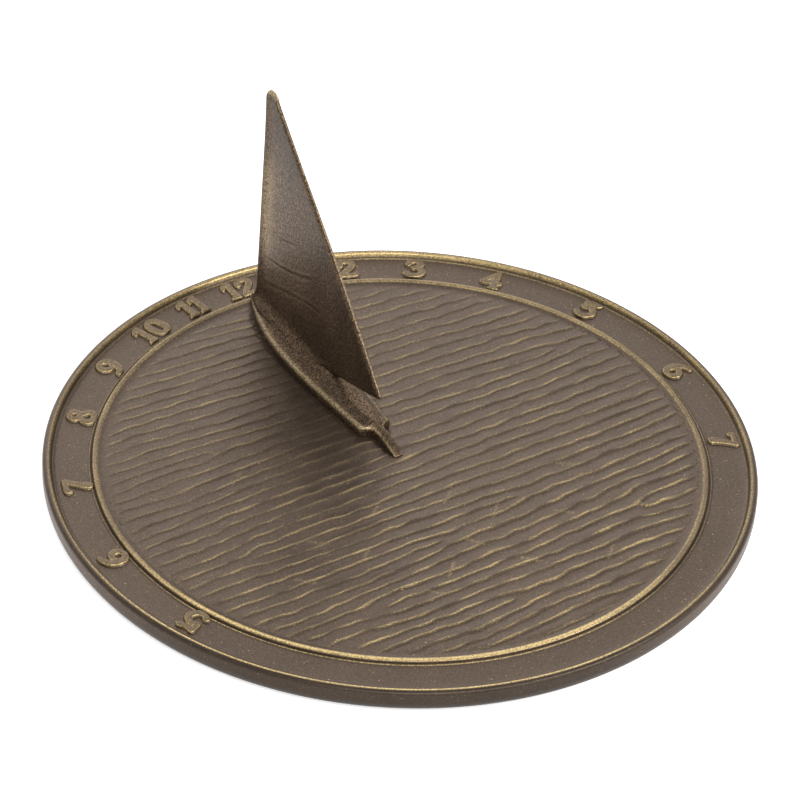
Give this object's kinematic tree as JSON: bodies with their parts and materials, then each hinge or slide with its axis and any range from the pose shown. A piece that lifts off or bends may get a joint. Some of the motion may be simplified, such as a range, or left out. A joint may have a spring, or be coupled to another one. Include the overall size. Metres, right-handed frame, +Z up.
{
  "type": "sundial",
  "caption": "Horizontal garden sundial: round cast plate with a raised rim, hour band and rippled water field, and a sailing-boat gnomon whose sloping sail edge casts the shadow.",
  "frame": {"origin": "centre of the dial on the plane of its rest land, under the plate", "axes": "+Z up, square to the plate; +Y north, towards the noon mark and the boat's bow; +X east"},
  "size_m": [0.254, 0.254, 0.1076],
  "materials": {
    "plate_casting": "sand-cast aluminium with a dark brown antiqued bronze finish, gold-brown where the raised edges are rubbed",
    "gnomon_casting": "sand-cast aluminium with the same antiqued bronze finish, smoother and a little greyer on the sail",
    "screw_steel": "bright zinc-plated steel",
    "washer_steel": "bright zinc-plated spring steel"
  },
  "bodies": {
    "root": {"dial_plate": "plate_casting", "sailboat_gnomon": "gnomon_casting", "gnomon_screws": "screw_steel", "lock_washers": "washer_steel"}
  },
  "joints": []
}
